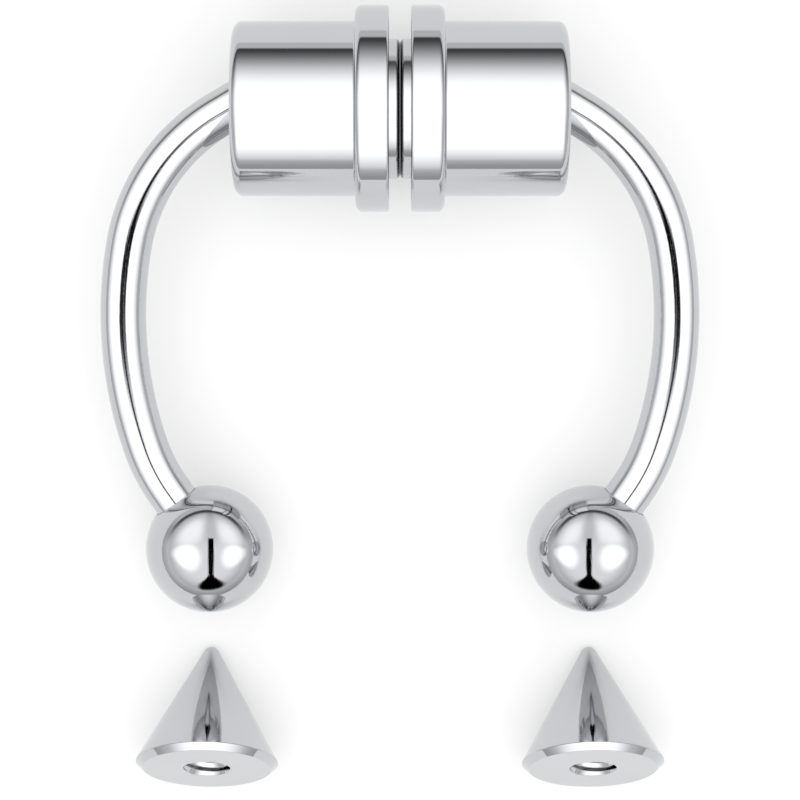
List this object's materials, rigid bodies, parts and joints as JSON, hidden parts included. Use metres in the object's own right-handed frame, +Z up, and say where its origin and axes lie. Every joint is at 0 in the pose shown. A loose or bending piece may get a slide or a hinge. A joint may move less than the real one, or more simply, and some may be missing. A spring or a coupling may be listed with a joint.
{
  "type": "fake double nose ring",
  "caption": "Magnetic septum ring in polished steel: mirrored halves with collared magnet housings, curved bars and screw-on balls, lying on its side beside spare cone ends.",
  "frame": {"origin": "centre of the foot of the whole part's box, on the surface that the ring lies on", "axes": "+X along the magnets' axis from the left half to the right half, +Y from the balls to the housings, +Z up"},
  "size_m": [0.014, 0.0186, 0.0047],
  "materials": {
    "polished_steel": "polished",
    "plated_magnet": "polished"
  },
  "bodies": {
    "left_half": {"left_housing": "polished_steel", "left_magnet": "plated_magnet", "left_bar": "polished_steel", "left_ball": "polished_steel", "left_spare_cone": "polished_steel", "right_spare_cone": "polished_steel"},
    "right_magnet_disc": {"right_magnet": "plated_magnet"},
    "right_half": {"right_housing": "polished_steel", "right_bar": "polished_steel", "right_ball": "polished_steel"}
  },
  "joints": [
    {"name": "halves_part", "type": "slide", "parent": "left_half", "child": "right_magnet_disc", "axis": [1, 0, 0], "range_m": [0, 0.006], "stiffness_N_per_m": 3, "springref_m": -0.008},
    {"name": "halves_swivel", "type": "hinge", "parent": "right_magnet_disc", "child": "right_half", "pos_m": [0, 0.00693, 0.00236], "axis": [1, 0, 0], "continuous": true}
  ]
}
